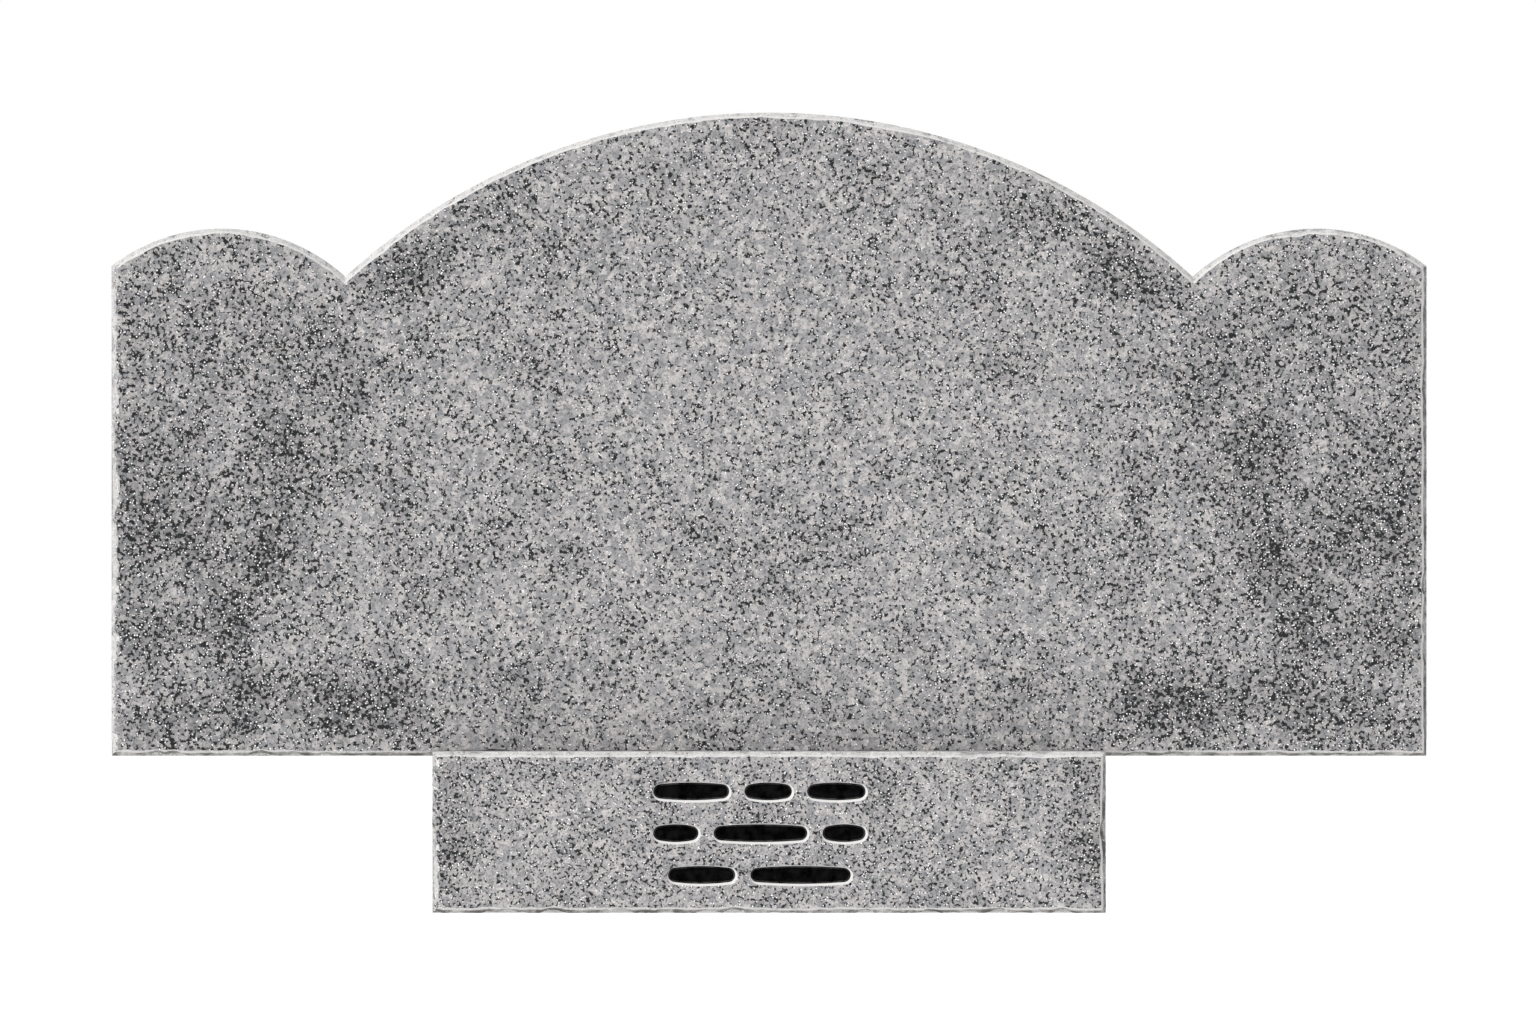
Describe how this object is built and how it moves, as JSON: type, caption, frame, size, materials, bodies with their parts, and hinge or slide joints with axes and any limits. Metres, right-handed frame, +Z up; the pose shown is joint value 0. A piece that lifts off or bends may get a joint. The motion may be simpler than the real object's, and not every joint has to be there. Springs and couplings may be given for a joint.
{
  "type": "headstone",
  "caption": "Wide grey granite headstone: a tablet with a crown arch between low shoulder arches, chamfered all round, standing in a shallow socket in a narrower base block.",
  "frame": {"origin": "on the ground, under the middle of the base block's underside", "axes": "+X across the width, -Y towards the inscribed front, +Z up"},
  "size_m": [1.2, 0.2, 0.7293],
  "materials": {
    "granite": "grey medium-grained granite, ground smooth and half polished on its faces, paler and rougher along the chamfers; the cut strokes are painted glossy black"
  },
  "bodies": {
    "root": {"tablet": "granite", "base": "granite"}
  },
  "joints": []
}
